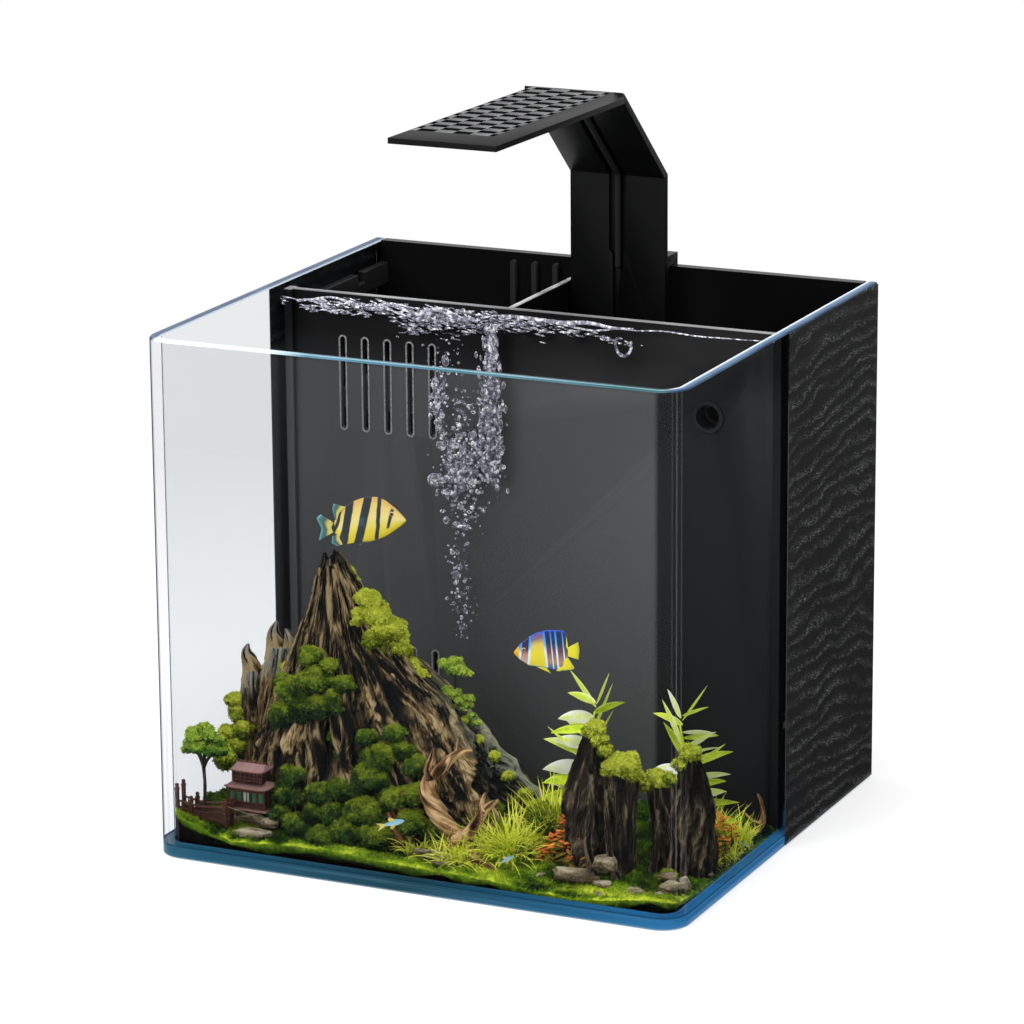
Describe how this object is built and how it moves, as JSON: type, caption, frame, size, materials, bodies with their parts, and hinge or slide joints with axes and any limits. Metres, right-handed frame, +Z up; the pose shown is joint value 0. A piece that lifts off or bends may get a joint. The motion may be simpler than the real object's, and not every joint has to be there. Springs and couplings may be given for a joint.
{
  "type": "desktop aquarium",
  "caption": "Frameless desktop aquarium with bent front corners, slotted weir, rear filter chamber with basket and pump, hang-on lamp and planted rock landscape.",
  "frame": {"origin": "centre of the tank's underside, on the table", "axes": "+X to the tank's right seen from the front, +Y to the back where the filter chamber is, +Z up"},
  "size_m": [0.3012, 0.278, 0.389],
  "materials": {
    "clear_glass": "clear polished glass with bluish edges",
    "black_glass": "gloss black back pane",
    "clear_silicone": "clear silicone",
    "dark_wood_grain": "charcoal wood-grain foil, satin",
    "black_acrylic": "gloss black sheet",
    "basket_plastic": "black moulded plastic",
    "handle_steel": "bent stainless rod",
    "blue_sponge": "open-cell filter foam",
    "white_floss": "white filter floss",
    "ceramic_media": "unglazed ceramic rings",
    "carbon_media": "mesh bag of activated carbon",
    "pump_plastic": "black moulded plastic",
    "potting_resin": "potted motor winding",
    "magnet": "dark ferrite",
    "white_plastic": "moulded white plastic",
    "shaft_ceramic": "polished white ceramic",
    "black_rubber": "matte black rubber",
    "dial_plastic": "grey moulded plastic",
    "nozzle_plastic": "dark grey moulded plastic",
    "black_anodised": "black anodised aluminium",
    "circuit_board": "white solder mask",
    "led_yellow": "yellow phosphor",
    "opal_diffuser": "opal diffuser",
    "lead_jacket": "black cable jacket",
    "screw_steel": "stainless screws",
    "moss_soil": "dark soil under moss",
    "brown_rock": "rough brown rock with moss",
    "driftwood": "weathered reddish wood",
    "painted_ornament": "painted resin ornament",
    "green_leaves": "green leaves",
    "pebble_stone": "grey-brown pebbles",
    "yellow_grass": "yellow-green stems",
    "red_leaves": "red leaves"
  },
  "bodies": {
    "tank": {"base_glass": "clear_glass", "glass_shell": "clear_glass", "back_pane": "black_glass", "silicone_seams": "clear_silicone", "wood_skin_left": "dark_wood_grain", "wood_skin_right": "dark_wood_grain", "weir_panel": "black_acrylic", "weir_channels": "black_acrylic", "divider_rails": "black_acrylic", "rib_comb": "black_acrylic", "wall_ledge": "black_acrylic", "basket_feet": "black_acrylic", "pump_housing": "pump_plastic", "stator_block": "potting_resin", "impeller_shaft": "shaft_ceramic", "shaft_bushes": "black_rubber", "impeller_cover": "pump_plastic", "intake_grille": "pump_plastic", "suction_cups": "black_rubber", "riser_pipe": "pump_plastic", "outlet_elbow": "pump_plastic", "return_nozzle": "nozzle_plastic", "nozzle_seal": "black_rubber", "cable_gland": "black_rubber", "planted_bed": "moss_soil", "mountain_rock": "brown_rock", "corner_rocks": "brown_rock", "driftwood": "driftwood", "pagoda": "painted_ornament", "footbridge": "painted_ornament", "bonsai": "green_leaves", "stones": "pebble_stone", "leafy_plants": "green_leaves", "grass_clumps": "yellow_grass", "red_plants": "red_leaves"},
    "lamp": {"lamp_plate": "black_anodised", "lamp_tray": "black_anodised", "led_board": "circuit_board", "led_chips": "led_yellow", "light_diffuser": "opal_diffuser", "lamp_arm": "black_anodised", "lamp_mast": "black_anodised", "lamp_hook": "black_anodised", "hook_pads": "black_rubber", "lamp_lead": "lead_jacket", "dc_socket": "nozzle_plastic", "hook_screws": "screw_steel", "tray_screws": "screw_steel"},
    "divider": {"chamber_divider": "black_acrylic"},
    "basket": {"media_basket": "basket_plastic", "coarse_sponge": "blue_sponge", "fine_pad": "white_floss", "ceramic_rings": "ceramic_media", "carbon_bag": "carbon_media"},
    "handle": {"basket_handle": "handle_steel"},
    "rotor": {"rotor_magnet": "magnet", "impeller": "white_plastic"},
    "dial": {"flow_dial": "dial_plastic"}
  },
  "joints": [
    {"name": "lamp_lift", "type": "slide", "parent": "tank", "child": "lamp", "axis": [0, 0, 1], "range_m": [0, 0.06]},
    {"name": "divider_lift", "type": "slide", "parent": "tank", "child": "divider", "axis": [0, 0, 1], "range_m": [0, 0.105]},
    {"name": "basket_lift", "type": "slide", "parent": "tank", "child": "basket", "axis": [0, 0, 1], "range_m": [0, 0.27]},
    {"name": "handle_swing", "type": "hinge", "parent": "basket", "child": "handle", "pos_m": [-0.085, 0.0745, 0.2022], "axis": [1, 0, 0], "range_deg": [0, 154]},
    {"name": "rotor_spin", "type": "hinge", "parent": "tank", "child": "rotor", "pos_m": [0.074, 0.06, 0.034], "axis": [1, 0, 0], "continuous": true},
    {"name": "dial_turn", "type": "hinge", "parent": "tank", "child": "dial", "pos_m": [0.13, 0.06, 0.034], "axis": [1, 0, 0], "range_deg": [0, 90]}
  ]
}
